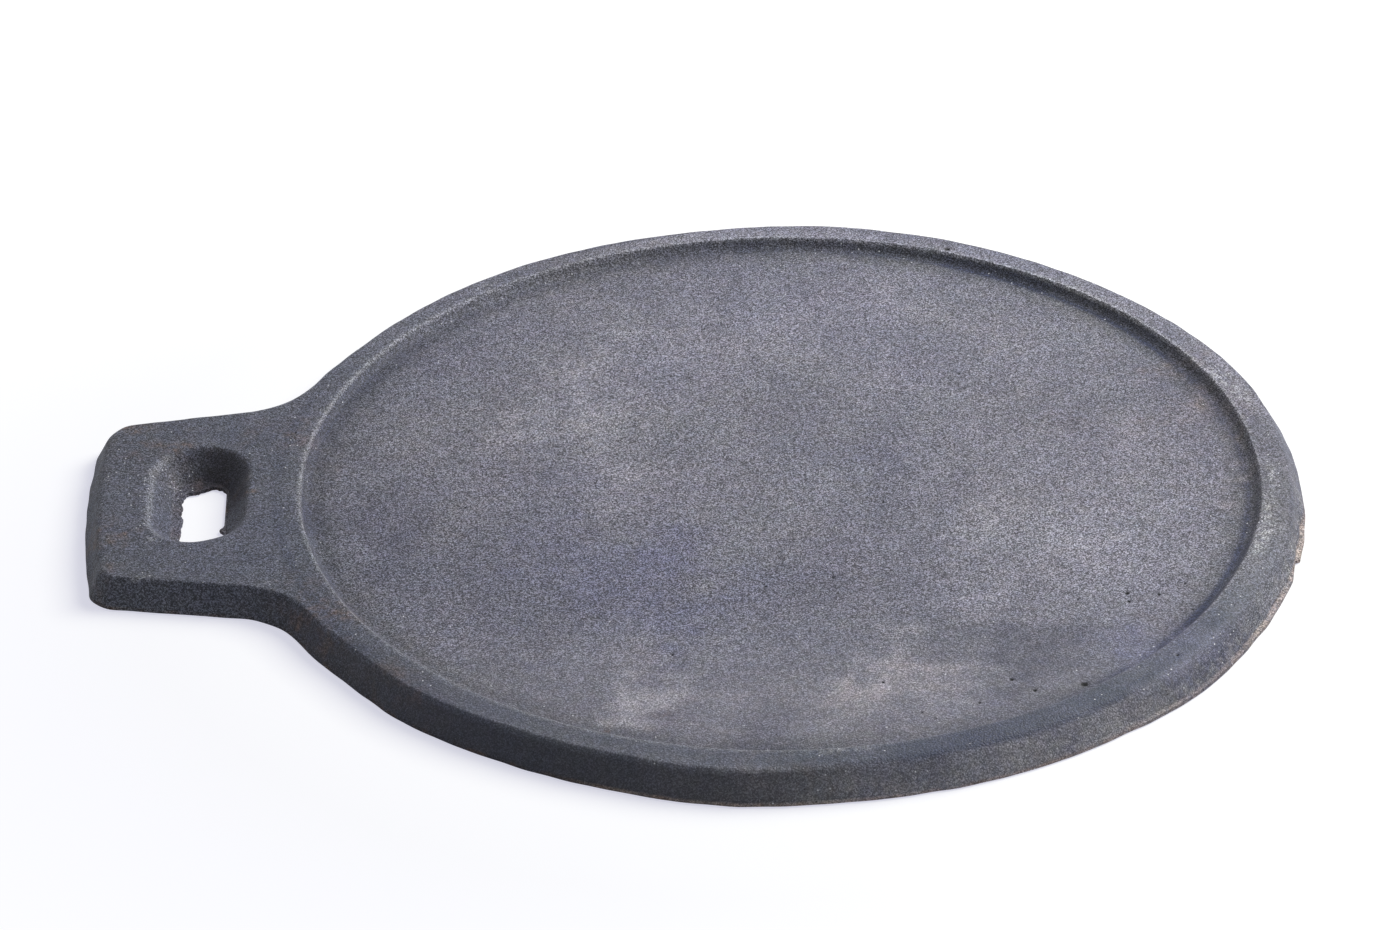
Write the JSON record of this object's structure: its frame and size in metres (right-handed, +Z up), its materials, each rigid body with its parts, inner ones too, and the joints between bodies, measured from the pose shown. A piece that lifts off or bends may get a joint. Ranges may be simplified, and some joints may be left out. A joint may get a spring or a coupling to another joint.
{
  "type": "tawa",
  "caption": "Flat cast-iron tawa: a round griddle plate with a low rim, sloping sides and a flat tab handle pierced by a funnel-shaped finger and hanging slot.",
  "frame": {"origin": "centre of the disc on its flat underside", "axes": "+Z up through the cooking surface, -X from the disc's centre along the tab handle, +Y across it"},
  "size_m": [0.2973, 0.2547, 0.0074],
  "materials": {
    "seasoned_iron": "as-cast sand texture, seasoned to a dull blue-black grey, faintly brown at the edges"
  },
  "bodies": {
    "root": {"tawa_casting": "seasoned_iron"}
  },
  "joints": []
}
